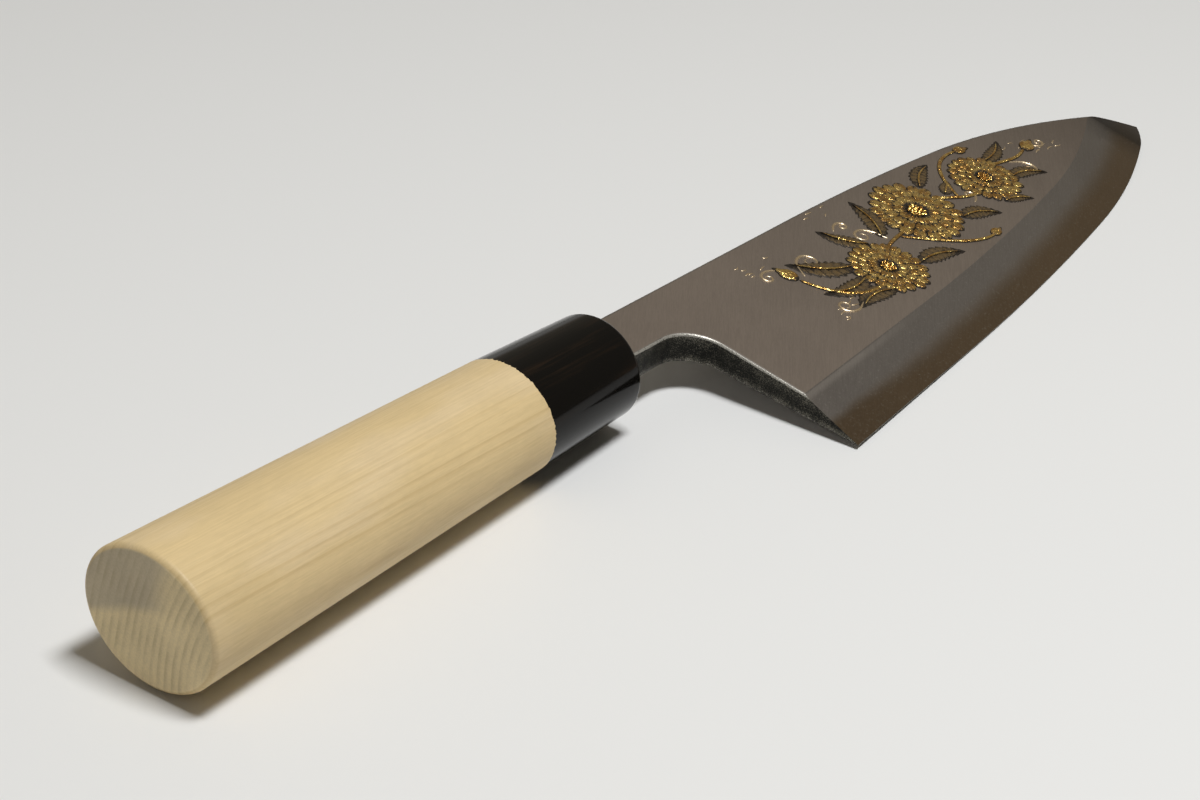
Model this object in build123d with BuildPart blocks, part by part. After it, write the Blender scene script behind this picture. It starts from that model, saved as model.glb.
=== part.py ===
# A deba, the Japanese knife for fish, for the right hand.
# The blade is ground on one face only and is slightly hollow on its flat back. Its tang runs hidden
# into an oval handle of white wood with a black horn ferrule.
# Lengths are in millimetres. +X runs along the handle to the point, +Y from the cutting edge to the
# spine, and +Z out of the ground face. The origin is at the lowest level, under the middle of the box.
import os
from math import atan2, cos, hypot, pi, sin, tan

from build123d import *

# Sizes of the blade, seen from its ground face.
blade_length = 180.0            # heel to point
heel_drop = 49.0                # heel of the edge below the handle's axis
tip_drop = 15.0                 # point below the handle's axis
spine_rise = 7.4                # spine above the handle's axis
neck_length = 24.9              # ferrule to heel
neck_drop = 5.2                 # underside of the neck below the handle's axis
neck_corner = 9.0               # radius where the neck turns down into the heel face
heel_lean = 0.6                 # how far the heel face leans back at its top

# The edge is a straight run and three tangent arcs, the spine a straight run and two. Each pair of
# shares is a place along the blade and, between heel and point or spine and point, a place across.
edge_shares = ((0.294, 0.142), (0.712, 0.439), (0.949, 0.818))
spine_shares = ((0.309, 0.0), (0.625, 0.104))

# Sizes of the blade through its thickness.
neck_thickness = 7.8            # spine at the ferrule
tip_thickness = 5.75            # spine, if it ran on to the point
ridge_thickness = 4.95          # at the ridge line, over the heel
bevel_width = 14.5              # edge to ridge line, over the heel
edge_land = 0.25                # blunt land left on the cutting edge
face_round = 0.8                # burnished round along spine, neck and heel, on the ground face
back_easing = 0.3               # chamfer round the flat back

# The hard steel forge welded under the soft iron, and the hollow ground into its back.
steel_at_heel = 2.8
steel_at_tip = 3.5
steel_setback = 9.0             # the steel begins this far ahead of the ferrule
scarf_length = 8.0              # and reaches its full thickness over this length
rim_width = 2.2
hollow_depth = 0.45
hollow_shares = ((0.02, 0.15), (0.1, 0.85), (0.35, 1.0), (0.62, 0.9), (0.84, 0.6), (0.94, 0.15))

# The hidden tang.
tang_length = 92.0
tang_ledge = 0.7                 # shoulder where the neck becomes the tang
tang_end_height = 6.0
tang_end_thickness = 4.0
tang_end_chamfer = 1.2
tang_gap = 0.15                 # burnt-in fit in the wood
tang_pocket = 3.0               # room in the wood past the end of the tang

# Handle and ferrule.
handle_length = 128.7           # with the ferrule
ferrule_length = 30.2
mouth_gap = 0.4                 # bore past the corners of the neck
horn_wall_high = 2.85           # horn between bore and outside, along Y
horn_wall_flat = 2.3            # and along Z
joint_height = 26.0             # oval where horn meets wood
joint_thickness = 23.2
butt_height = 31.6              # oval at the butt
butt_thickness = 27.4
butt_shift = 0.6                # the butt's oval sits this much lower and nearer the edge side
butt_round = 1.4
horn_round = 1.2
mouth_chamfer = 0.4
glue_gap = 0.1
seal_depth = 4.0                # horn mouth filled with resin round the neck
seal_recess = 0.6               # resin stops this far inside the mouth
round_steps = 4                 # facets across each rounded end

overrun = 6.0                   # how far cutting tools pass the work

# The frame: the ferrule's front, the handle's axis and the blade's flat back.
front_x = (handle_length - neck_length - blade_length) / 2
axis_y = (heel_drop - butt_height / 2 + butt_shift) / 2
axis_z = butt_thickness / 2 + butt_shift
back_z = axis_z - neck_thickness / 2

joint_x = front_x - ferrule_length
butt_x = front_x - handle_length
heel_x = front_x + neck_length
tip_x = heel_x + blade_length
shoulder_x = front_x - seal_depth
tang_end_x = shoulder_x - tang_length

spine_y = axis_y + spine_rise
neck_y = axis_y - neck_drop
heel_y = axis_y - heel_drop
tip_y = axis_y - tip_drop
tang_y = (spine_y + neck_y) / 2
bore_radius = hypot(spine_rise, neck_thickness / 2) + mouth_gap

back_plane = Plane.XY.offset(back_z)


def cross_plane(x):
    """The plane square to the handle at x, centred on its axis, with Y to the right and Z up."""
    return Plane(origin=(x, axis_y, axis_z), x_dir=(0, 1, 0), z_dir=(1, 0, 0))


def tang_section(x, height, thickness):
    """One rectangle of the tang's taper, in line with the middle of the neck."""
    with BuildSketch(cross_plane(x)) as section:
        with Locations((tang_y - axis_y, 0)):
            Rectangle(height, thickness)
    return section.sketch


def tang_bar(gap, extra_length):
    """The two ends of the tang, or with a gap those of the hole that it is burnt into."""
    root_height = spine_rise + neck_drop - 2 * tang_ledge
    root_thickness = neck_thickness - 2 * tang_ledge
    root = tang_section(shoulder_x, root_height + 2 * gap, root_thickness + 2 * gap)
    end_x = tang_end_x - extra_length
    end = tang_section(end_x, tang_end_height + 2 * gap, tang_end_thickness + 2 * gap)
    return [root, end]


# The cutting edge, drawn flat from the heel to the point.
heel = Vector(heel_x, heel_y)
tip = Vector(tip_x, tip_y)
edge_points = [
    Vector(heel_x + blade_length * along, heel_y + (heel_drop - tip_drop) * across)
    for along, across in edge_shares
]
with BuildLine() as edge_line:
    edge_run = Line(heel, edge_points[0])
    belly = TangentArc(edge_points[0], edge_points[1], tangent=edge_run % 1)
    upsweep = TangentArc(edge_points[1], edge_points[2], tangent=belly % 1)
    point_curve = TangentArc(edge_points[2], tip, tangent=upsweep % 1)

# The way of the grinding stone, which runs on past both ends of the edge.
grinding_start = heel - (edge_run % 0) * overrun
with BuildLine() as grinding_line:
    Line(grinding_start, heel)
    add(edge_line.line)
    Line(tip, tip + (point_curve % 1) * overrun)
grinding_path = grinding_line.line.moved(back_plane.location)

# The outline of blade and neck: spine, point, edge, heel face and the underside of the neck.
spine_points = [
    Vector(heel_x + blade_length * along, spine_y - (spine_rise + tip_drop) * across)
    for along, across in spine_shares
]
heel_top = Vector(heel_x - heel_lean, neck_y)
with BuildSketch(back_plane) as blade_outline:
    with BuildLine():
        add(edge_line.line)
        spine_run = Line((shoulder_x, spine_y), spine_points[0])
        spine_ease = TangentArc(spine_points[0], spine_points[1], tangent=spine_run % 1)
        TangentArc(spine_points[1], tip, tangent=spine_ease % 1)
        Line(heel, heel_top)
        Line(heel_top, (shoulder_x, neck_y))
        Line((shoulder_x, neck_y), (shoulder_x, spine_y))
    make_face()
    corner = blade_outline.vertices().sort_by_distance(heel_top)[0]
    fillet(corner, neck_corner)

# The ground face is one flat plane. It loses thickness to the point and from the spine to the ridge.
top_at_ferrule = Vector(front_x, spine_y, back_z + neck_thickness)
top_at_tip = Vector(tip_x, spine_y, back_z + tip_thickness)
top_at_ridge = Vector(heel_x, heel_y + bevel_width, back_z + ridge_thickness)
face_normal = (top_at_tip - top_at_ferrule).cross(top_at_ridge - top_at_ferrule)
if face_normal.Z < 0:
    face_normal = face_normal * -1
face_plane = Plane(origin=top_at_ferrule, z_dir=face_normal)

# The wedge that the grinding stone takes off above the bevel, square to the edge.
bevel_angle = atan2(ridge_thickness - edge_land, bevel_width)
wedge_reach = bevel_width * 1.5
wedge_top = neck_thickness + overrun
wedge_plane = Plane(
    origin=(grinding_start.X, grinding_start.Y, back_z),
    x_dir=Vector(0, 0, 1).cross(edge_run % 0),
    z_dir=edge_run % 0,
)
with BuildSketch(wedge_plane) as bevel_wedge:
    with BuildLine():
        Polyline(
            (-overrun, edge_land),
            (0, edge_land),
            (wedge_reach, edge_land + wedge_reach * tan(bevel_angle)),
            (wedge_reach, wedge_top),
            (-overrun, wedge_top),
            close=True,
        )
    make_face()


def away_from_edge(rim):
    """The lines of a face's rim that don't lie over the cutting edge, where the bevel is ground."""
    kept = []
    for line in rim:
        middle = line @ 0.5
        if edge_line.line.distance_to(Vector(middle.X, middle.Y)) > back_easing:
            kept.append(line)
    return kept


# The whole forging, iron and steel together, as it comes off the stones.
with BuildPart() as forging:
    add(blade_outline.sketch)
    extrude(amount=neck_thickness + overrun)
    split(bisect_by=face_plane, keep=Keep.BOTTOM)
    ground_face = forging.faces().sort_by(Axis.Z)[-1]
    fillet(away_from_edge(ground_face.edges()), face_round)
    flat_back = forging.faces().sort_by(Axis.Z)[0]
    chamfer(away_from_edge(flat_back.edges()), back_easing)
    sweep(sections=bevel_wedge.sketch, path=grinding_path, mode=Mode.SUBTRACT)
    loft(sections=tang_bar(0, 0))
    tang_end = forging.faces().sort_by(Axis.X)[0]
    chamfer(tang_end.edges(), tang_end_chamfer)

# The hollow of the back: shallow arcs across the blade inside a flat rim, deepest in the middle.
with BuildSketch(back_plane) as hollow_outline:
    add(blade_outline.sketch.faces()[0].moved(Location((0, 0, -back_z))))
    offset(amount=-rim_width)
hollow_face = hollow_outline.sketch.faces()[0]
hollow_sections = []
for along, depth_share in hollow_shares:
    station_x = heel_x + rim_width + (blade_length - 2 * rim_width) * along
    across = Edge.make_line((station_x, heel_y - overrun, back_z), (station_x, spine_y + overrun, back_z))
    chord = hollow_face.intersect(across).edges()[0]
    ends = sorted((chord @ 0, chord @ 1), key=lambda point: point.Y)
    with BuildSketch(Plane(origin=(station_x, 0, back_z), x_dir=(0, 1, 0), z_dir=(1, 0, 0))) as slice_sketch:
        with BuildLine():
            low, high = (ends[0].Y, 0), (ends[1].Y, 0)
            Line(low, high)
            ThreePointArc(low, ((ends[0].Y + ends[1].Y) / 2, hollow_depth * depth_share), high)
        make_face()
    hollow_sections.append(slice_sketch.sketch)
with BuildPart() as back_hollow:
    loft(sections=hollow_sections)

# The zone of the forging that is hard steel. It thins out in a scarf under the neck.
with BuildPart() as steel_zone:
    with BuildSketch(Plane.XZ):
        with BuildLine():
            Polyline(
                (front_x + steel_setback, back_z - overrun),
                (front_x + steel_setback, back_z),
                (front_x + steel_setback + scarf_length, back_z + steel_at_heel),
                (tip_x, back_z + steel_at_tip),
                (tip_x + overrun, back_z + steel_at_tip),
                (tip_x + overrun, back_z - overrun),
                close=True,
            )
        make_face()
    extrude(amount=heel_drop + spine_rise + overrun, both=True)

with BuildPart() as edge_steel:
    add(forging.part)
    add(steel_zone.part, mode=Mode.INTERSECT)
    add(back_hollow.part, mode=Mode.SUBTRACT)

with BuildPart() as blade_iron:
    add(forging.part)
    add(steel_zone.part, mode=Mode.SUBTRACT)


def oval_section(x, height, thickness, shift):
    """An oval square to the handle at x, moved by shift down and to the edge side."""
    with BuildSketch(cross_plane(x)) as section:
        with Locations((-shift, -shift)):
            Ellipse(height / 2, thickness / 2)
    return section.sketch


def rounded_end(end_x, inward, height, thickness, shift, radius):
    """The ovals of an end whose rim is rounded off. Inward is -1 at the front and 1 at the butt."""
    sections = []
    for step in range(round_steps + 1):
        turn = pi / 2 * step / round_steps
        trim = 2 * radius * (1 - cos(turn))
        x = end_x + inward * radius * (1 - sin(turn))
        sections.append(oval_section(x, height - trim, thickness - trim, shift))
    return sections


# The horn ferrule: an oval that grows towards the wood, bored through and rounded at its front.
mouth_height = 2 * (bore_radius + horn_wall_high)
mouth_thickness = 2 * (bore_radius + horn_wall_flat)
joint_oval = oval_section(joint_x, joint_height, joint_thickness, 0)
with BuildPart() as ferrule:
    front_ovals = rounded_end(front_x, -1, mouth_height, mouth_thickness, 0, horn_round)
    loft(sections=[joint_oval] + front_ovals, ruled=True)
    with BuildSketch(cross_plane(joint_x)):
        Circle(bore_radius)
    extrude(amount=ferrule_length, mode=Mode.SUBTRACT)
    mouth = ferrule.faces().sort_by(Axis.X)[-1].inner_wires()[0]
    chamfer(mouth.edges(), mouth_chamfer)

# The wooden handle: an oval that grows towards the butt, with a turned tenon that fills the ferrule
# and a hole burnt in for the tang.
with BuildPart() as handle:
    butt_ovals = rounded_end(butt_x, 1, butt_height, butt_thickness, butt_shift, butt_round)
    loft(sections=[joint_oval] + butt_ovals, ruled=True)
    with BuildSketch(cross_plane(joint_x)):
        Circle(bore_radius - glue_gap)
    extrude(amount=ferrule_length - seal_depth)
    loft(sections=tang_bar(tang_gap, tang_pocket), mode=Mode.SUBTRACT)

# Resin cast round the neck in the ferrule's mouth, which keeps water off the tang.
with BuildPart() as tang_seal:
    with BuildSketch(cross_plane(shoulder_x)):
        Circle(bore_radius - glue_gap)
    extrude(amount=seal_depth - seal_recess)
    add(forging.part, mode=Mode.SUBTRACT)

blade_iron.part.label = "blade_iron"
edge_steel.part.label = "edge_steel"
ferrule.part.label = "ferrule"
handle.part.label = "handle"
tang_seal.part.label = "tang_seal"

os.makedirs("parts", exist_ok=True)
export_step(blade_iron.part, "parts/blade_iron.step")
export_step(edge_steel.part, "parts/edge_steel.step")
export_step(ferrule.part, "parts/ferrule.step")
export_step(handle.part, "parts/handle.step")
export_step(tang_seal.part, "parts/tang_seal.step")
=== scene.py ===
import math
import random

import bmesh
import bpy
from mathutils import Matrix, Quaternion, Vector, noise
from mathutils.geometry import interpolate_bezier


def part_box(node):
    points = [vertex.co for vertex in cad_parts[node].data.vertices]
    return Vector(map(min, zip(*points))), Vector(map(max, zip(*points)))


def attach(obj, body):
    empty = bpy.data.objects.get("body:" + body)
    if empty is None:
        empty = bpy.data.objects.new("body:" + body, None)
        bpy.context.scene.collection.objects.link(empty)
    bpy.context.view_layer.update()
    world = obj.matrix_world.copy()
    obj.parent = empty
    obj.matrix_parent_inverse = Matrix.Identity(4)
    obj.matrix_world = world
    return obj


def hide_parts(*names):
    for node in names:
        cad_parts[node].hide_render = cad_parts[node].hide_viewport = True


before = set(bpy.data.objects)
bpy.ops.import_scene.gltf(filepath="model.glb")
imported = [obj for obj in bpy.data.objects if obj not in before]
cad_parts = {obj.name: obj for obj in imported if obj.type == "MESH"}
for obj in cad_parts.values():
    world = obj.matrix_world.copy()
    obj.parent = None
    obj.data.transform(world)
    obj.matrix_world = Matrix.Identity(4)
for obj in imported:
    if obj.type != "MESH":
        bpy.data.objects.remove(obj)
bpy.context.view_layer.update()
mm = 0.001
scene = bpy.context.scene
scene.view_settings.view_transform = "Standard"


# The camera looks down the knife from behind the butt, as in the photograph. The lens is 93 mm on a
# sensor 36 mm wide, and the camera is rolled a little, because it was held askew.
camera_place = Vector((-491.9, -259.6, 341.0)) * mm
camera_way = Vector((0.72443, 0.43726, -0.53292))
camera_roll = math.radians(11.635)
camera_data = bpy.data.cameras.new("camera")
camera_data.lens = 93.0
camera_data.sensor_width = 36.0
camera = bpy.data.objects.new("camera", camera_data)
camera.location = camera_place
camera.rotation_mode = "QUATERNION"
camera.rotation_quaternion = camera_way.to_track_quat("-Z", "Y") @ Quaternion((0, 0, 1), camera_roll)
scene.collection.objects.link(camera)
scene.camera = camera


# The blade's soft iron: the ground face, the neck and the tang inside the handle. It is forged, then
# ground on one side. The ridge between face and bevel is a crisp line, only a little worn.
weld_distance = 0.002 * mm
flat_angle = math.radians(0.2)
crease_angle = math.radians(32)
ridge_angle = math.radians(12.5)
hollow_angle = math.radians(2)
lies_flat = 0.9


def finish_mesh(bm, name, crease=crease_angle):
    """Turns a bmesh into an object at the origin, smooth except at creases and at edges marked sharp."""
    for face in bm.faces:
        face.smooth = True
    for edge in bm.edges:
        if edge.calc_face_angle(0) > crease:
            edge.smooth = False
    mesh = bpy.data.meshes.new(name)
    bm.to_mesh(mesh)
    bm.free()
    piece = bpy.data.objects.new(name, mesh)
    scene.collection.objects.link(piece)
    return piece


def merged_copy(node):
    """The mesh of a CAD node as a bmesh, merged into whole faces, with a crisp ridge and hollow."""
    bm = bmesh.new()
    bm.from_mesh(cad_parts[node].data)
    bmesh.ops.remove_doubles(bm, verts=bm.verts, dist=weld_distance)
    bmesh.ops.dissolve_limit(bm, angle_limit=flat_angle, verts=bm.verts, edges=bm.edges)
    for edge in bm.edges:
        edge.smooth = True
        on_top = all(face.normal.z > lies_flat for face in edge.link_faces)
        below = all(face.normal.z < -lies_flat for face in edge.link_faces)
        bend = edge.calc_face_angle(0)
        if (on_top and bend > ridge_angle) or (below and bend > hollow_angle):
            edge.smooth = False
    return bm


def keep_flats_flat(piece):
    """Lets the large flat faces set the shading, so that no rounding creeps into them."""
    weighted = piece.modifiers.new("flats", "WEIGHTED_NORMAL")
    weighted.mode = "FACE_AREA"
    weighted.keep_sharp = True


iron = merged_copy("blade_iron")
top_faces = [face for face in iron.faces if face.normal.z > lies_flat]
ground_face = max(top_faces, key=lambda face: face.calc_area())
face_normal = ground_face.normal.copy()
face_point = ground_face.calc_center_median()
blade_iron = finish_mesh(iron, "ground_iron")
keep_flats_flat(blade_iron)
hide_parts("blade_iron")
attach(blade_iron, "root")

# The finish of iron and steel is one: slanting lines from the stones, the soft seam of the two metals
# on the bevel, the scale of the forge on neck and heel, worn bright at their rims, and a satin back.
face_colour = (0.306, 0.256, 0.214, 1)
bevel_iron_colour = (0.298, 0.272, 0.252, 1)
bevel_steel_colour = (0.265, 0.194, 0.128, 1)
back_colour = (0.56, 0.52, 0.48, 1)
scale_dark = (0.012, 0.012, 0.010, 1)
scale_light = (0.185, 0.172, 0.138, 1)
worn_colour = (0.50, 0.48, 0.43, 1)
face_roughness = 0.50
bevel_iron_roughness = 0.38
bevel_steel_roughness = 0.27
stone_stretch = (160, 4200, 160)
grit_stretch = (700, 7000, 700)
stone_share = 0.55
grind_turn = math.radians(-35)
scale_depth = 0.05 * mm
line_depth_share = 0.1
blade_length = 180 * mm
seam_at_heel = 2.8 * mm
seam_at_tip = 3.5 * mm
seam_above = 0.1 * mm
seam_below_at_heel = 0.9 * mm
seam_below = 1.9 * mm
seam_spread = 45 * mm
seam_waver = 0.5 * mm
# Painted light on the bevel: the strength of the painted highlight by the ridge at the heel, and the darkest
# painted shade at the point.
ridge_painted_highlight = 0.45
darkest_painted_point_shade = 0.26

steel_low, steel_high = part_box("edge_steel")
back_z = steel_low.z
tip_x = steel_high.x
heel_x = tip_x - blade_length


def add_node(tree, kind, inputs=None, **settings):
    """Adds a shader node. An input is a value, or the socket that feeds it."""
    node = tree.nodes.new(kind)
    for key, value in settings.items():
        setattr(node, key, value)
    for key, value in (inputs or {}).items():
        if isinstance(value, bpy.types.NodeSocket):
            tree.links.new(value, node.inputs[key])
        else:
            node.inputs[key].default_value = value
    return node


def calculate(tree, operation, *values):
    """A Math node's result."""
    return add_node(tree, "ShaderNodeMath", dict(enumerate(values)), operation=operation).outputs[0]


def with_share(tree, value, share, other):
    """A value with a share of another added to it."""
    return calculate(tree, "MULTIPLY_ADD", other, share, value)


def diagonal(tree, first, second):
    """The length of a diagonal, from its two sides."""
    squares = [calculate(tree, "MULTIPLY", side, side) for side in (first, second)]
    return calculate(tree, "SQRT", calculate(tree, "ADD", *squares))


def parts_of(tree, vector):
    """The X, Y and Z of a vector."""
    return add_node(tree, "ShaderNodeSeparateXYZ", {"Vector": vector}).outputs


def along(tree, vector, way):
    """How far a vector reaches along a direction."""
    node = add_node(tree, "ShaderNodeVectorMath", {0: vector, 1: way}, operation="DOT_PRODUCT")
    return node.outputs["Value"]


def fade(tree, value, start, end, low=0.0, high=1.0):
    """A value that goes smoothly from low to high while another goes from start to end."""
    sockets = {"Value": value, "From Min": start, "From Max": end, "To Min": low, "To Max": high}
    return add_node(tree, "ShaderNodeMapRange", sockets, interpolation_type="SMOOTHSTEP").outputs["Result"]


def vary(tree, grain, low, high):
    """A value that goes from low to high with grain, which keeps mostly between 0.3 and 0.7."""
    return fade(tree, grain, 0.3, 0.7, low, high)


def blend(tree, share, first, second):
    """A value between two others."""
    return add_node(tree, "ShaderNodeMix", {0: share, 2: first, 3: second}).outputs[0]


def blend_colours(tree, share, first, second):
    """A colour between two others."""
    sockets = {0: share, 6: first, 7: second}
    return add_node(tree, "ShaderNodeMix", sockets, data_type="RGBA").outputs[2]


def shade_colour(tree, colour, tone):
    """A colour made darker by a tone below 1, or lighter by one above."""
    node = add_node(tree, "ShaderNodeVectorMath", {0: colour, "Scale": tone}, operation="SCALE")
    return node.outputs["Vector"]


def start_group(name, inputs, outputs):
    """A shader node group with named sockets, the values it is given and the sockets it puts out."""
    group = bpy.data.node_groups.new(name, "ShaderNodeTree")
    for socket, kind in inputs.items():
        group.interface.new_socket(socket, in_out="INPUT", socket_type=kind)
    for socket, kind in outputs.items():
        group.interface.new_socket(socket, in_out="OUTPUT", socket_type=kind)
    return group, group.nodes.new("NodeGroupInput").outputs, group.nodes.new("NodeGroupOutput").inputs


# Grain is noise on the object's own place, drawn out along turned axes: its stretch is per metre.
drawn_grain, given, out = start_group(
    "drawn_grain", {"Stretch": "NodeSocketVector", "Turn": "NodeSocketVector",
                    "Detail": "NodeSocketFloat", "Roughness": "NodeSocketFloat"},
    {"Grain": "NodeSocketFloat"})
spot = add_node(drawn_grain, "ShaderNodeTexCoord").outputs["Object"]
sockets = {"Vector": spot, "Rotation": given["Turn"]}
turned = add_node(drawn_grain, "ShaderNodeMapping", sockets).outputs["Vector"]
sockets = {"Vector": turned, "Scale": given["Stretch"]}
drawn = add_node(drawn_grain, "ShaderNodeMapping", sockets).outputs["Vector"]
sockets = {"Vector": drawn, "Scale": 1.0, "Detail": given["Detail"], "Roughness": given["Roughness"]}
drawn_grain.links.new(add_node(drawn_grain, "ShaderNodeTexNoise", sockets).outputs["Fac"], out["Grain"])


def streaks(tree, stretch, detail=2.0, roughness=0.5, turn=0.0):
    """Places the grain in a material: a value between 0 and 1."""
    sockets = {"Stretch": stretch, "Turn": (0, 0, turn), "Detail": detail, "Roughness": roughness}
    return add_node(tree, "ShaderNodeGroup", sockets, node_tree=drawn_grain).outputs["Grain"]


def start_material(name):
    """A material with a Principled BSDF, its node tree and that node's inputs."""
    material = bpy.data.materials.new(name)
    material.use_nodes = True
    return material, material.node_tree, material.node_tree.nodes["Principled BSDF"].inputs


def link_height(tree, height, distance, strength, target):
    """Feeds a height in metres times distance through a Bump node to a Normal socket."""
    bump = add_node(tree, "ShaderNodeBump", {"Height": height, "Distance": distance, "Strength": strength})
    tree.links.new(bump.outputs["Normal"], target)


# Two stones leave their lines, a coarse and a fine one, and the hand leaves pale clouds between them.
stone_lines, _, out = start_group(
    "stone_lines", {}, {"Lines": "NodeSocketFloat", "Clouds": "NodeSocketFloat"})
coarse = calculate(stone_lines, "MULTIPLY", streaks(stone_lines, stone_stretch, 3.0, 0.7, grind_turn),
                   stone_share)
fine = streaks(stone_lines, grit_stretch, 2.0, 0.7, grind_turn)
stone_lines.links.new(with_share(stone_lines, coarse, 1 - stone_share, fine), out["Lines"])
stone_lines.links.new(streaks(stone_lines, (35, 35, 35), 2.0), out["Clouds"])

# Forge scale is grainy and patchy. Wear turns it brown, then bares the metal under it.
forge_scale, given, out = start_group(
    "forge_scale", {"Wear": "NodeSocketFloat"},
    {"Colour": "NodeSocketColor", "Roughness": "NodeSocketFloat", "Height": "NodeSocketFloat"})
grains = streaks(forge_scale, (4600, 4600, 4600), 2.0, 0.6)
patches = streaks(forge_scale, (350, 350, 350), 3.0, 0.6)
browned = with_share(forge_scale, with_share(forge_scale, grains, 0.3, patches), 0.14, given["Wear"])
rusted = blend_colours(forge_scale, fade(forge_scale, browned, 0.64, 0.96), scale_dark, scale_light)
bare_metal = fade(forge_scale, calculate(forge_scale, "MULTIPLY", given["Wear"], grains), 0.42, 0.60)
forge_scale.links.new(blend_colours(forge_scale, bare_metal, rusted, worn_colour), out["Colour"])
forge_scale.links.new(fade(forge_scale, given["Wear"], 0.0, 1.0, 0.58, 0.36), out["Roughness"])
forge_scale.links.new(grains, out["Height"])

blade_steel, tree, shader = start_material("blade_steel")
texture = add_node(tree, "ShaderNodeTexCoord").outputs
normal = parts_of(tree, texture["Normal"])
place = parts_of(tree, texture["Object"])
lines = add_node(tree, "ShaderNodeGroup", node_tree=stone_lines).outputs

# The ground face is where the surface turns as that face does, and the back is where it looks down.
on_face = fade(tree, along(tree, texture["Normal"], face_normal), 0.972, 0.990)
on_back = fade(tree, normal["Z"], -0.6, -0.9)

# Scale is left where a side looks down the handle or to the edge, but not on the bevel or the back.
to_handle = calculate(tree, "MAXIMUM", calculate(tree, "MULTIPLY", normal["X"], -1), 0)
to_edge = calculate(tree, "MAXIMUM", calculate(tree, "MULTIPLY", normal["Y"], -1), 0)
pitted = streaks(tree, (1500, 1500, 1500), 3.0, 0.7)
on_scale = fade(tree, with_share(tree, diagonal(tree, to_handle, to_edge), 0.5, pitted), 0.55, 0.85)

# Its rims are worn bright, the upper one just under the plane of the ground face, the lower at the back.
level = along(tree, texture["Object"], face_normal)
depth = calculate(tree, "SUBTRACT", face_normal.dot(face_point), level)
upper_rim = calculate(tree, "MAXIMUM", fade(tree, normal["Z"], 0.12, 0.45, 0, 1.3),
                      fade(tree, depth, 3.0 * mm, 0.2 * mm, 0, 0.75))
lower_rim = fade(tree, place["Z"], back_z + 2.0 * mm, back_z + 0.5 * mm, 0.0, 0.8)
scale = add_node(tree, "ShaderNodeGroup", {"Wear": calculate(tree, "MAXIMUM", upper_rim, lower_rim)},
                 node_tree=forge_scale).outputs

# The seam of the two metals wavers along the bevel, and it is softer towards the point.
seam = fade(tree, place["X"], heel_x, tip_x, back_z + seam_at_heel, back_z + seam_at_tip)
ripples = calculate(tree, "SUBTRACT", streaks(tree, (90, 40, 40), 3.0), 0.5)
above_seam = with_share(tree, calculate(tree, "SUBTRACT", place["Z"], seam), seam_waver, ripples)
seam_end = fade(tree, place["X"], heel_x, heel_x + seam_spread, -seam_below_at_heel, -seam_below)
in_steel = fade(tree, above_seam, seam_above, seam_end)
bevel_colour = blend_colours(tree, in_steel, bevel_iron_colour, bevel_steel_colour)
bare = blend_colours(tree, on_face, bevel_colour, face_colour)
bare = blend_colours(tree, on_back, bare, back_colour)

# The bevel has a painted highlight beside the ridge at the heel. At the point, where it turns away from the
# light, it has a painted shade set by the way it faces, and the face is painted darker towards the point too.
# The bevel's tone also rises a little from heel to point, and parts that do not face up are painted a touch
# darker.
heel_painted_highlight = fade(tree, place["X"], heel_x + 55 * mm, heel_x + 15 * mm, 0.0, ridge_painted_highlight)
beside_ridge = calculate(tree, "MULTIPLY", fade(tree, depth, 0.60 * mm, 0.20 * mm),
                         fade(tree, depth, 0.02 * mm, 0.12 * mm))
painted_shade_where_turned = fade(tree, normal["X"], 0.104, 0.136, 1.0, darkest_painted_point_shade)
at_point = blend(tree, fade(tree, normal["Z"], 0.4, 0.8), 0.9, painted_shade_where_turned)
bevel_painted_light = calculate(tree, "MULTIPLY", with_share(tree, 1.0, heel_painted_highlight, beside_ridge), at_point)
bevel_painted_light = calculate(tree, "MULTIPLY", bevel_painted_light,
                       fade(tree, place["X"], heel_x, heel_x + 140 * mm, 0.89, 1.08))
# Painted shade: the ground face grows darker towards the point.
face_painted_shade = fade(tree, place["X"], tip_x - 55 * mm, tip_x - 12 * mm, 1.0, 0.78)
tone = calculate(tree, "ADD", fade(tree, lines["Lines"], 0.35, 0.65, 0.92, 1.05),
                 vary(tree, lines["Clouds"], -0.05, 0.05))
tone = calculate(tree, "MULTIPLY", tone, blend(tree, on_face, bevel_painted_light, face_painted_shade))
tree.links.new(blend_colours(tree, on_scale, shade_colour(tree, bare, tone), scale["Colour"]),
               shader["Base Color"])
bevel_roughness = fade(tree, in_steel, 0, 1, bevel_iron_roughness, bevel_steel_roughness)
bare_roughness = with_share(tree, blend(tree, on_face, bevel_roughness, face_roughness), 0.08, lines["Lines"])
tree.links.new(blend(tree, on_scale, bare_roughness, scale["Roughness"]), shader["Roughness"])
tree.links.new(fade(tree, on_scale, 0, 1, 1.0, 0.6), shader["Metallic"])
line_height = calculate(tree, "MULTIPLY", lines["Lines"], line_depth_share)
link_height(tree, blend(tree, on_scale, line_height, scale["Height"]), scale_depth, 1.0, shader["Normal"])
shader["Specular IOR Level"].default_value = 0.2
blade_iron.data.materials.append(blade_steel)


# The hard steel, forge welded under the iron. It carries the cutting edge and the flat back, which is
# ground hollow inside its rim, and it has the same finish as the iron, up to the seam on the bevel.
edge_steel = finish_mesh(merged_copy("edge_steel"), "ground_steel")
keep_flats_flat(edge_steel)
edge_steel.data.materials.append(blade_steel)
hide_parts("edge_steel")
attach(edge_steel, "root")


# The handle: one piece of pale ho wood, turned and sanded with the ferrule in place, so that both
# meet flush. Its fibres end in a slightly ragged line at the horn. A round tenon fills the ferrule.
round_segments = 256
turned_crease = math.radians(30)
tenon_radius = 8.665 * mm
butt_round = 1.4 * mm
tooth_depth = 0.42 * mm
tooth_seed = 11
tuft_scale = 1.3
round_steps = 8
body_steps = 36

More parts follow.
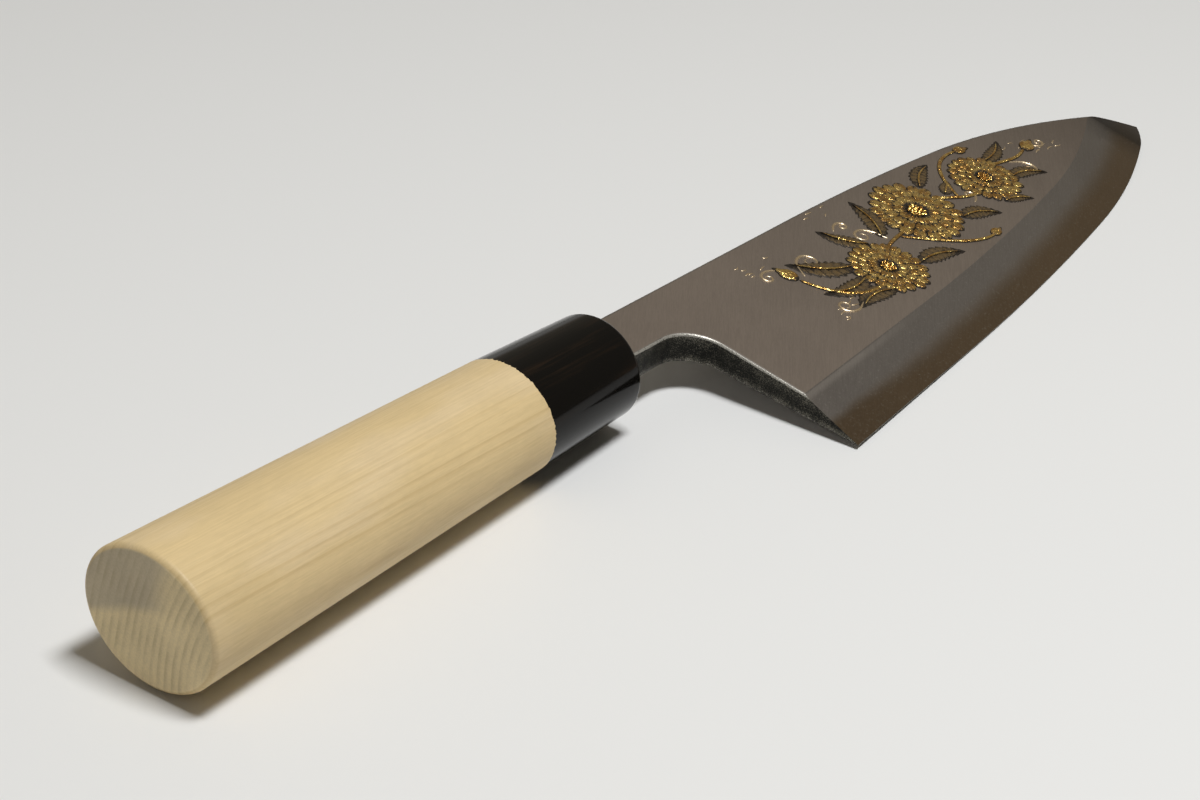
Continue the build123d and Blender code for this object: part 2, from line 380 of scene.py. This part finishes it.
ferrule_low, ferrule_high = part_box("ferrule")
handle_low, handle_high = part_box("handle")
joint_x, front_x = ferrule_low.x, ferrule_high.x
butt_x, shoulder_x = handle_low.x, handle_high.x
axis_y = (ferrule_low.y + ferrule_high.y) / 2
axis_z = (ferrule_low.z + ferrule_high.z) / 2
joint_oval = ((ferrule_high.y - ferrule_low.y) / 2, (ferrule_high.z - ferrule_low.z) / 2)
butt_oval = ((handle_high.y - handle_low.y) / 2, (handle_high.z - handle_low.z) / 2)
butt_centre = ((handle_low.y + handle_high.y) / 2, (handle_low.z + handle_high.z) / 2)


def add_oval(bm, x, half_y, half_z, y, z, ragged=False):
    """A loop of edges square to the handle. At the joint the wood's fibres end in small teeth."""
    loop = bmesh.ops.create_circle(bm, segments=round_segments, radius=1)["verts"]
    fibre = random.Random(tooth_seed)
    for vert in loop:
        rough = 0.5 + noise.noise(vert.co * tuft_scale)
        tooth = tooth_depth * rough * fibre.random() ** 2 if ragged else 0
        vert.co = Vector((x + tooth, y + half_y * vert.co.x, z + half_z * vert.co.y))
    return list(dict.fromkeys(edge for vert in loop for edge in vert.link_edges))


def skin(bm, loops):
    """Joins each loop to the next."""
    for first, second in zip(loops, loops[1:]):
        bmesh.ops.bridge_loops(bm, edges=first + second)


def body_oval(share):
    """Half height, half thickness and centre of the handle from the joint, at 0, to the butt, at 1."""
    return [a + (b - a) * share for a, b in zip(joint_oval + (axis_y, axis_z), butt_oval + butt_centre)]


bm = bmesh.new()
wood_length = joint_x - butt_x
loops = []
for step in range(body_steps + 1):
    share = (step / body_steps) * (1 - butt_round / wood_length)
    half_y, half_z, y, z = body_oval(share)
    loops.append(add_oval(bm, joint_x - wood_length * share, half_y, half_z, y, z, ragged=step == 0))
half_y, half_z, y, z = body_oval(1)
for step in range(1, round_steps + 1):
    turn = math.pi / 2 * step / round_steps
    trim = butt_round * (1 - math.cos(turn))
    loops.append(add_oval(bm, butt_x + butt_round * (1 - math.sin(turn)), half_y - trim, half_z - trim, y, z))
tenon_loops = [add_oval(bm, x, tenon_radius, tenon_radius, axis_y, axis_z) for x in (shoulder_x, joint_x)]
skin(bm, tenon_loops + loops)
bmesh.ops.edgeloop_fill(bm, edges=loops[-1])
bmesh.ops.edgeloop_fill(bm, edges=tenon_loops[0])
bmesh.ops.recalc_face_normals(bm, faces=bm.faces)
handle = finish_mesh(bm, "handle_wood", turned_crease)
keep_flats_flat(handle)
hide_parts("handle")
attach(handle, "root")

early_wood = (0.655, 0.496, 0.260, 1)
pale_wood = (0.670, 0.518, 0.298, 1)
late_wood = (0.470, 0.320, 0.140, 1)
end_early = (0.820, 0.660, 0.380, 1)
end_late = (0.560, 0.430, 0.220, 1)
dark_patch_early = (0.540, 0.450, 0.300, 1)
dark_patch_late = (0.410, 0.325, 0.195, 1)
ring_gap = 1.7 * mm
ring_waver = 2.4 * mm
heart_y = axis_y - 65 * mm
heart_z = axis_z - 9 * mm
dark_patch_slope = 0.52
dark_patch_edge = axis_z + dark_patch_slope * axis_y + 1.2 * mm
dark_patch_blur = 3 * mm
fibre_depth = 0.02 * mm

white_wood, tree, shader = start_material("white_wood")
texture = add_node(tree, "ShaderNodeTexCoord").outputs
place = parts_of(tree, texture["Object"])
normal = parts_of(tree, texture["Normal"])

# Fibres, flecks and pores are marks of the wood itself. Clouds and smudges are its changes of colour.
fibres = streaks(tree, (45, 2800, 2800), 3.0, 0.6)
flecks = streaks(tree, (420, 1800, 1800), 2.0, 0.6)
clouds = streaks(tree, (30, 110, 110), 2.0)
pores = streaks(tree, (2400, 2600, 2600), 2.0, 0.7)
smudges = streaks(tree, (60, 80, 80), 3.0, 0.55)

# Year rings lie round a heart far below the handle. They waver a little, and some are darker.
off_y = calculate(tree, "SUBTRACT", place["Y"], heart_y)
off_z = calculate(tree, "SUBTRACT", place["Z"], heart_z)
bend = calculate(tree, "SUBTRACT", streaks(tree, (3, 30, 30), 2.0), 0.5)
from_heart = with_share(tree, diagonal(tree, off_y, off_z), ring_waver, bend)
year_part = calculate(tree, "FRACT", calculate(tree, "DIVIDE", from_heart, ring_gap))
late_line = calculate(tree, "MULTIPLY", fade(tree, year_part, 0.20, 0.85), fade(tree, year_part, 1.0, 0.85))
year_strength = fade(tree, streaks(tree, (2, 160, 160), 2.0), 0.35, 0.70)
side_strength = calculate(tree, "MULTIPLY", year_strength, fade(tree, normal["Z"], 0.95, 0.2, 0.30, 0.60))
late_share = calculate(tree, "MULTIPLY", calculate(tree, "POWER", late_line, 2.2), side_strength)
side = blend_colours(tree, fade(tree, clouds, 0.46, 0.70), early_wood, pale_wood)
side = blend_colours(tree, late_share, side, late_wood)
side_tone = calculate(tree, "ADD", vary(tree, fibres, 0.96, 1.04),
                      calculate(tree, "ADD", vary(tree, smudges, -0.03, 0.03),
                                vary(tree, flecks, -0.02, 0.02)))

# The end grain is greyer, with a darker patch over its upper part, on the spine's side.
dark_patch_line = with_share(tree, place["Z"], dark_patch_slope, place["Y"])
dark_patch_line = with_share(tree, dark_patch_line, dark_patch_blur, smudges)
above_line = fade(tree, dark_patch_line, dark_patch_edge, dark_patch_edge + dark_patch_blur)
to_spine = fade(tree, with_share(tree, place["Y"], 6 * mm, smudges), axis_y - 3 * mm, axis_y + 4 * mm)
in_dark_patch = calculate(tree, "MULTIPLY", above_line, to_spine)
end_late_share = calculate(tree, "MULTIPLY", late_line, fade(tree, year_strength, 0, 1, 0.18, 0.60))
end = blend_colours(tree, in_dark_patch, blend_colours(tree, end_late_share, end_early, end_late),
                    blend_colours(tree, end_late_share, dark_patch_early, dark_patch_late))
end_tone = calculate(tree, "ADD", vary(tree, pores, 0.94, 1.05),
                     fade(tree, smudges, 0.35, 0.65, -0.06, 0.06))
on_end = fade(tree, calculate(tree, "MULTIPLY", normal["X"], -1), 0.86, 0.985)
wood = shade_colour(tree, blend_colours(tree, on_end, side, end), blend(tree, on_end, side_tone, end_tone))
tree.links.new(wood, shader["Base Color"])
tree.links.new(vary(tree, fibres, 0.58, 0.46), shader["Roughness"])
link_height(tree, blend(tree, on_end, fibres, pores), fibre_depth, 0.6, shader["Normal"])
shader["Specular IOR Level"].default_value = 0.38
handle.data.materials.append(white_wood)


# The ferrule: a ring of water buffalo horn, bored, glued on the tenon and polished to a deep gloss.
# Its mouth is rounded on the outside and has a small chamfer round the neck.
bore_radius = 8.765 * mm
horn_round = 1.2 * mm
mouth_chamfer = 0.4 * mm
mouth_oval = (bore_radius + 2.85 * mm, bore_radius + 2.3 * mm)
horn_steps = 14

bm = bmesh.new()
horn_length = front_x - joint_x
loops = []
for step in range(horn_steps + 1):
    share = (step / horn_steps) * (1 - horn_round / horn_length)
    half_y, half_z = [a + (b - a) * share for a, b in zip(joint_oval, mouth_oval)]
    loops.append(add_oval(bm, joint_x + horn_length * share, half_y, half_z, axis_y, axis_z,
                          ragged=step == 0))
for step in range(1, round_steps + 1):
    turn = math.pi / 2 * step / round_steps
    trim = horn_round * (1 - math.cos(turn))
    loops.append(add_oval(bm, front_x - horn_round * (1 - math.sin(turn)), mouth_oval[0] - trim,
                          mouth_oval[1] - trim, axis_y, axis_z))
for x, radius in ((front_x, bore_radius + mouth_chamfer), (front_x - mouth_chamfer, bore_radius),
                  (joint_x, bore_radius)):
    loops.append(add_oval(bm, x, radius, radius, axis_y, axis_z))
skin(bm, loops + loops[:1])
bmesh.ops.recalc_face_normals(bm, faces=bm.faces)
ferrule = finish_mesh(bm, "ferrule_horn", turned_crease)
keep_flats_flat(ferrule)
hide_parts("ferrule")
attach(ferrule, "root")

# The horn is black, with faint brown streaks along it and a little haze in the gloss.
horn_black = (0.0035, 0.003, 0.0026, 1)
horn_brown = (0.016, 0.009, 0.005, 1)
thread_depth = 0.01 * mm

horn, tree, shader = start_material("horn")
bands = streaks(tree, (22, 420, 420), 3.0, 0.6)
threads = streaks(tree, (60, 2200, 2200), 3.0, 0.6)
haze = streaks(tree, (900, 900, 900), 3.0)
brown_share = calculate(tree, "MULTIPLY", fade(tree, bands, 0.52, 0.75), fade(tree, threads, 0.35, 0.65))
tree.links.new(blend_colours(tree, brown_share, horn_black, horn_brown), shader["Base Color"])
tree.links.new(vary(tree, haze, 0.08, 0.14), shader["Roughness"])
link_height(tree, threads, thread_depth, 0.35, shader["Normal"])
shader["Specular IOR Level"].default_value = 0.18
ferrule.data.materials.append(horn)


# The seal: dull dark resin, cast round the neck in the mouth of the ferrule. It keeps water away from
# the tang and the wood, and its surface is a little lumpy, as it set.
resin_dark = (0.010, 0.008, 0.006, 1)
resin_light = (0.035, 0.026, 0.018, 1)
lump_depth = 0.2 * mm

resin, tree, shader = start_material("resin")
lumps = streaks(tree, (500, 500, 500), 3.0)
tree.links.new(blend_colours(tree, lumps, resin_dark, resin_light), shader["Base Color"])
tree.links.new(vary(tree, lumps, 0.45, 0.6), shader["Roughness"])
link_height(tree, lumps, lump_depth, 0.5, shader["Normal"])
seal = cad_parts["tang_seal"]
seal.data.materials.clear()
seal.data.materials.append(resin)


# The ornament on the ground face is an inlay: three blossoms and their leaves on a winding twig, cut
# in sheet gold, chased with a fine chisel and blackened in the cuts. It stands a little proud.
sheet = 0.55 * mm
sunk = 0.05 * mm
chased_crease = math.radians(50)
groove_width = 0.3
notch_depth = 0.3
vein_depth = 0.5
vein_slant = 0.7


def place_along(points, share):
    """The point and the direction at a share of the way along a line of points."""
    spot = share * (len(points) - 1)
    first = min(int(spot), len(points) - 2)
    here, there = points[first], points[first + 1]
    return here.lerp(there, spot - first), (there - here).normalized()


def on_sheet(spot):
    """A point of the drawing, given in millimetres, as a point of the flat sheet."""
    return Vector(spot).to_3d() * mm


def bow(start, end, bend, count=9):
    """Points on a shallow arc, which swells to the left by a share of its length."""
    line = Vector(end) - Vector(start)
    side = Vector((-line.y, line.x, 0)) * bend
    shares = [index / count for index in range(count + 1)]
    return [Vector(start) + line * share + side * math.sin(math.pi * share) for share in shares]


def blank_lens(sides, steps):
    """The mesh of a round blank that every petal, leaf and twig is shaped from. It is made once."""
    name = f"blank_{sides}_{steps}"
    if name not in bpy.data.meshes:
        bm = bmesh.new()
        bmesh.ops.create_uvsphere(bm, u_segments=sides, v_segments=steps, radius=1)
        bm.verts.index_update()
        # The faces come in another order each time, so they are sorted by their corners.
        bm.faces.sort(key=lambda face: sum(vert.index ** 2 for vert in face.verts))
        bm.to_mesh(bpy.data.meshes.new(name))
        bm.free()
    return bpy.data.meshes[name]


def add_lens(bm, points, width, height, level=0.0, widest=0.5, blunt=0.7, steps=12, sides=12,
             groove=0.0, teeth=0):
    """A low, closed dome along a line of points, with a groove down its middle or teeth at its rim."""
    blank = blank_lens(sides, steps)
    bm.from_mesh(blank)
    bm.verts.ensure_lookup_table()
    crests = bm.verts.layers.float["crest"]
    for vert in bm.verts[-len(blank.vertices):]:
        turn = math.acos(max(-1.0, min(1.0, vert.co.z)))
        girth = max(math.sin(turn), 0.0001)
        across, up = vert.co.x / girth, vert.co.y / girth
        share = turn / math.pi
        swell = max(0.0, math.sin(math.pi * share ** (math.log(0.5) / math.log(widest)))) ** blunt
        notch = 1 - notch_depth * abs(across) * (share * teeth % 1) if teeth else 1
        vein = 1 - vein_depth * ((share * teeth + vein_slant * abs(across)) % 1) if teeth else 1
        crest = max(0.0, up) * swell * vein * (1 - groove * math.exp(-(across / groove_width) ** 2))
        point, way = place_along(points, share)
        side = Vector((-way.y, way.x, 0))
        lift = level + height * crest if up > 0 else -sunk * swell
        vert.co = point + side * (across * swell * notch * width / 2) + Vector((0, 0, lift))
        vert[crests] = crest


def start_inlay():
    """A bmesh for flat inlay. Each point of it knows how near it is to the crest of its own dome."""
    bm = bmesh.new()
    bm.verts.layers.float.new("crest")
    return bm


def seat_inlay(bm, name, material):
    """Moves a flat inlay to its place on the ground face and makes it a piece of its own."""
    along_blade = (Vector((1, 0, 0)) - face_normal * face_normal.x).normalized()
    seat = Matrix((along_blade, face_normal.cross(along_blade), face_normal)).transposed().to_4x4()
    seat.translation = Vector((0, 0, face_normal.dot(face_point) / face_normal.z))
    bmesh.ops.recalc_face_normals(bm, faces=bm.faces)
    bmesh.ops.transform(bm, matrix=seat, verts=bm.verts)
    piece = finish_mesh(bm, name, chased_crease)
    piece.data.materials.append(material)
    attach(piece, "root")


# Chased metal goes from blackened cuts to bright crests, with a patina and the marks of the punch.
gold_colour = (1.0, 0.69, 0.22, 1)
bronze_colour = (0.36, 0.245, 0.115, 1)
pale_gold_colour = (0.90, 0.72, 0.48, 1)
patina_amber = (0.50, 0.22, 0.04, 1)
cut_black = (0.018, 0.012, 0.007, 1)
cut_brown = (0.25, 0.18, 0.09, 1)

chased_relief, given, out = start_group(
    "chased_relief",
    {"Low Crest": "NodeSocketFloat", "High Crest": "NodeSocketFloat", "Patina": "NodeSocketFloat",
     "Polish": "NodeSocketFloat", "Cut Colour": "NodeSocketColor", "Metal Colour": "NodeSocketColor",
     "Patina Colour": "NodeSocketColor"},
    {"Colour": "NodeSocketColor", "Roughness": "NodeSocketFloat", "Metallic": "NodeSocketFloat",
     "Height": "NodeSocketFloat"})
crest = add_node(chased_relief, "ShaderNodeAttribute", attribute_name="crest").outputs["Fac"]
cuts = streaks(chased_relief, (2600, 2600, 2600), 3.0, 0.7)
worn = calculate(chased_relief, "ADD", crest, vary(chased_relief, cuts, -0.15, 0.15))
share = fade(chased_relief, worn, given["Low Crest"], given["High Crest"])
stains = fade(chased_relief, streaks(chased_relief, (420, 420, 420), 2.0), 0.40, 0.60, 0.0, given["Patina"])
metal = blend_colours(chased_relief, stains, given["Metal Colour"], given["Patina Colour"])
chased_relief.links.new(blend_colours(chased_relief, share, given["Cut Colour"], metal), out["Colour"])
chased_relief.links.new(fade(chased_relief, share, 0, 1, 0.6, given["Polish"]), out["Roughness"])
chased_relief.links.new(fade(chased_relief, share, 0, 1, 0.4, 1.0), out["Metallic"])
chased_relief.links.new(streaks(chased_relief, (1500, 1500, 1500), 2.0, 0.6), out["Height"])


def chased_metal(name, colour, cut_colour, low_crest, high_crest, polish, patina, bruise):
    """A metal of the inlay, finished by the chaser. Patina is a share, and bruise a depth in metres."""
    material, tree, shader = start_material(name)
    relief = add_node(tree, "ShaderNodeGroup",
                      {"Low Crest": low_crest, "High Crest": high_crest, "Patina": patina, "Polish": polish,
                       "Cut Colour": cut_colour, "Metal Colour": colour, "Patina Colour": patina_amber},
                      node_tree=chased_relief).outputs
    for socket, target in (("Colour", "Base Color"), ("Roughness", "Roughness"), ("Metallic", "Metallic")):
        tree.links.new(relief[socket], shader[target])
    link_height(tree, relief["Height"], bruise, 1.0, shader["Normal"])
    return material


gold = chased_metal("sheet_gold", gold_colour, cut_black, low_crest=0.41, high_crest=0.78, polish=0.25,
                    patina=0.7, bruise=0.36 * mm)
bronze = chased_metal("dark_bronze", bronze_colour, cut_black, low_crest=0.25, high_crest=0.85,
                      polish=0.38, patina=0.0, bruise=0.1 * mm)
pale_gold = chased_metal("pale_gold", pale_gold_colour, cut_brown, low_crest=0.0, high_crest=0.5,
                         polish=0.36, patina=0.0, bruise=0.1 * mm)

# Three round blossoms, each of three rings of grooved petals that overlap, round a heart of seeds. A
# ring has its inner and outer reach as shares of the radius, its number of petals and its level in mm.
flowers = (("blossom_near", (44.5, -0.8), 9.8), ("blossom_middle", (71.0, 8.6), 12.0),
           ("blossom_far", (99.5, 7.6), 9.6))
petal_rings = ((0.50, 1.00, 20, 0.00), (0.32, 0.77, 17, 0.14), (0.15, 0.52, 12, 0.28))
petal_share = 0.92
petal_bend = 0.06
heart_share = 0.19
seed_share = 0.035
seed_count = 26
seed_turn = 2.4
seed_level = 0.45 * mm
random.seed(5)


def add_blossom(bm, middle, radius):
    """A blossom on the flat sheet."""
    for ring, (inner, outer, count, level) in enumerate(petal_rings):
        for index in range(count):
            turn = math.tau * (index + ring / 3) / count + random.uniform(-0.03, 0.03)
            way = Vector((math.cos(turn), math.sin(turn), 0))
            reach = outer * random.uniform(0.95, 1.03)
            points = bow(middle + way * radius * inner, middle + way * radius * reach, petal_bend)
            width = math.tau * radius * outer / count * petal_share
            add_lens(bm, points, width, sheet, level=level * mm, widest=0.62, blunt=0.6, groove=0.45)
    crests = bm.verts.layers.float["crest"]
    for index in range(seed_count):
        away = radius * heart_share * math.sqrt(index / seed_count)
        turn = index * seed_turn
        spot = middle + Vector((away * math.cos(turn), away * math.sin(turn), seed_level))
        seed = bmesh.ops.create_icosphere(bm, subdivisions=2, radius=radius * seed_share,
                                          matrix=Matrix.Translation(spot))
        for vert in seed["verts"]:
            vert[crests] = 0.5 + (vert.co.z - spot.z) / (2 * radius * seed_share)


for name, centre, radius in flowers:
    bm = start_inlay()
    add_blossom(bm, on_sheet(centre), radius * mm)
    seat_inlay(bm, name, gold)

# Leaves stand in the gaps between the blossoms: start, end, width and bend of each, in millimetres.
leaves = (((38, 4), (24, 13.5), 7.0, 0.10), ((54, 7), (60, 20.5), 6.4, -0.10),
          ((39, -7), (25, -6.5), 6.2, -0.12), ((53, -4), (67, -7.5), 6.0, 0.10),
          ((79, 1), (90, -3.5), 5.8, 0.12), ((81, 14), (92, 19), 5.2, 0.10),
          ((106, 4), (117, 0), 5.0, 0.14), ((106, 12), (118, 15.5), 4.8, -0.10),
          ((37, 0), (22, 1.5), 5.8, 0.12), ((49, 7), (42, 17.5), 5.6, 0.10),
          ((84, 9), (90, 12), 4.0, 0.0), ((95, -1), (103, -4.5), 4.0, 0.12))
bm = start_inlay()
for start, end, width, bend in leaves:
    add_lens(bm, bow(on_sheet(start), on_sheet(end), bend, 16), width * mm, 0.9 * sheet, widest=0.42,
             blunt=0.75, steps=44, sides=16, groove=0.6, teeth=9)
seat_inlay(bm, "leaves", bronze)

# The twig winds under the blossoms and ends in a bud at either end. Each leaf has a rib of gold too.
# A bend has four points to steer it, and a bud its start, end and width, all in millimetres.
bends = (((22, 8), (24, -2), (34, -9), (45, -0.5)), ((45, -0.5), (54, 8), (60, 3), (71, 8.5)),
         ((71, 8.5), (84, 14), (86, -1), (99.5, 7.5)), ((99.5, 7.5), (108, 13), (112, 6), (121, 9.5)),
         ((58, 5), (66, -2), (72, -8), (80, -7.5)), ((86, 6), (90, 16), (96, 20), (104, 18.5)))
buds = (((22, 8), (20.5, 14.5), 4.4), ((120.5, 9), (127, 11), 4.0), ((79, -7.4), (84, -6.8), 2.6),
        ((103, 18.6), (108.5, 17.6), 2.8))
twig_width = 1.1 * mm
rib_width = 0.6 * mm
rib_share = 0.92
bud_petal_share = 0.55
bm = start_inlay()
for controls in bends:
    points = interpolate_bezier(*[on_sheet(spot) for spot in controls], 24)
    add_lens(bm, points, twig_width, 0.8 * sheet, blunt=0.12, steps=40, sides=10)
for start, end, width in buds:
    for bend, share in ((0.16, 0.8), (-0.16, 0.8), (0.0, 1.0)):
        points = bow(on_sheet(start), on_sheet(Vector(start).lerp(Vector(end), share)), bend)
        add_lens(bm, points, width * mm * bud_petal_share, sheet, level=0.02 * mm, widest=0.45, groove=0.3)
for start, end, width, bend in leaves:
    points = bow(on_sheet(start), on_sheet(Vector(start).lerp(Vector(end), rib_share)), bend, 16)
    add_lens(bm, points, rib_width, 0.35 * sheet, level=0.62 * sheet, widest=0.45, blunt=0.4, steps=20,
             sides=8)
seat_inlay(bm, "twig", gold)

# Fine tendrils grow out of the twig and wind up at their ends: start, heading in degrees, length in
# millimetres and turns. Short strokes of the chisel scatter round them.
tendrils = (((28, -5.2), 205, 15, -1.25), ((24.5, 8), 65, 19, -1.3), ((20.8, 13), 150, 12, 1.2),
            ((112, 8.2), -25, 15, -1.3), ((124, 10.5), -60, 10, 1.2), ((55, 6), 100, 17, 1.25),
            ((88, 3), 20, 9, 1.2), ((46, 15), 40, 10, -1.2))
tendril_width = 0.7 * mm
tendril_height = 0.24 * mm
tendril_steps = 40
stroke_spots = ((127, 8), (17, 17), (120, 12), (48, 21), (22, -5))
stroke_width = 0.4 * mm
stroke_height = 0.15 * mm
stroke_count = 30
bm = start_inlay()
for start, heading, length, turns in tendrils:
    point = on_sheet(start)
    points = [point]
    for step in range(tendril_steps):
        turn = math.radians(heading) + math.tau * turns * (step / tendril_steps) ** 2.2
        point = point + Vector((math.cos(turn), math.sin(turn), 0)) * (length / tendril_steps * mm)
        points.append(point)
    add_lens(bm, points, tendril_width, tendril_height, widest=0.4, blunt=0.4, steps=56, sides=8)
for _ in range(stroke_count):
    centre = Vector(random.choice(stroke_spots)).to_3d()
    spot = centre + Vector((random.uniform(-5, 5), random.uniform(-2.2, 2.2), 0))
    way = Vector((random.uniform(1.0, 2.6), random.uniform(-0.7, 0.7), 0))
    stroke = bow(spot * mm, (spot + way) * mm, random.uniform(-0.2, 0.2))
    add_lens(bm, stroke, stroke_width, stroke_height, widest=0.35)
seat_inlay(bm, "tendrils", pale_gold)


# The table: a smooth white board. The knife leans over to its edge, so the board is a little askew to
# it. It touches the belly of the edge, and heel, butt and ferrule lie about a millimetre above it.
floor_normal = Vector((-0.0236, 0.1447, 1.0)).normalized()
floor_radius = 6.0
floor_level = min(floor_normal.dot(vert.co)
                  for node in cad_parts.values() for vert in node.data.vertices)
board_colour = (0.80, 0.80, 0.79, 1)

bm = bmesh.new()
bmesh.ops.create_circle(bm, cap_ends=True, segments=96, radius=floor_radius)
bmesh.ops.transform(bm, matrix=Matrix.Translation(floor_normal * floor_level)
                    @ floor_normal.to_track_quat("Z", "Y").to_matrix().to_4x4(), verts=bm.verts)
floor = finish_mesh(bm, "floor")
board, tree, shader = start_material("board")
shader["Base Color"].default_value = board_colour
shader["Roughness"].default_value = 0.38
shader["Specular IOR Level"].default_value = 0.35
floor.data.materials.append(board)

# Seen from below, the board lets the eye through, so that it hides the knife in no view.
below = calculate(tree, "MULTIPLY", add_node(tree, "ShaderNodeNewGeometry").outputs["Backfacing"],
                  add_node(tree, "ShaderNodeLightPath").outputs["Is Camera Ray"])
clear = add_node(tree, "ShaderNodeBsdfTransparent").outputs["BSDF"]
solid = tree.nodes["Principled BSDF"].outputs["BSDF"]
seen = add_node(tree, "ShaderNodeMixShader", {0: below, 1: solid, 2: clear}).outputs["Shader"]
tree.links.new(seen, tree.nodes["Material Output"].inputs["Surface"])


# The room is plain and softly lit. It is paler low down than overhead, and brighter beyond the point. A
# soft lamp hangs over the edge's side, and a weak one behind the butt lights the spine's side.
horizon_colour = (0.46, 0.45, 0.43, 1)
overhead_colour = (0.20, 0.181, 0.145, 1)
bright_way = (0.82, 0.57, 0)
dim_strength = 0.41

world = bpy.data.worlds.new("room")
world.use_nodes = True
scene.world = world
tree = world.node_tree
background = tree.nodes["Background"].inputs
way = add_node(tree, "ShaderNodeTexCoord").outputs["Generated"]
rise = parts_of(tree, way)["Z"]
tree.links.new(blend_colours(tree, fade(tree, rise, 0.02, 0.12), horizon_colour, overhead_colour),
               background["Color"])
tree.links.new(fade(tree, along(tree, way, bright_way), -0.1, 0.5, dim_strength, 1.0), background["Strength"])


def add_lamp(name, place, width, height, power, colour=(1, 1, 1)):
    """A soft rectangular lamp that looks at the middle of the knife."""
    data = bpy.data.lights.new(name, "AREA")
    data.shape = "RECTANGLE"
    data.size, data.size_y, data.energy, data.color = width, height, power, colour
    lamp = bpy.data.objects.new(name, data)
    lamp.location = place
    lamp.rotation_mode = "QUATERNION"
    lamp.rotation_quaternion = (-Vector(place)).to_track_quat("-Z", "Y")
    scene.collection.objects.link(lamp)


add_lamp("ceiling_lamp", (-0.060, -0.150, 1.2), width=0.36, height=0.24, power=13.2,
         colour=(0.98, 0.99, 1.0))
add_lamp("weak_fill", (-1.2, 0.45, 0.75), width=0.9, height=0.9, power=0.6)
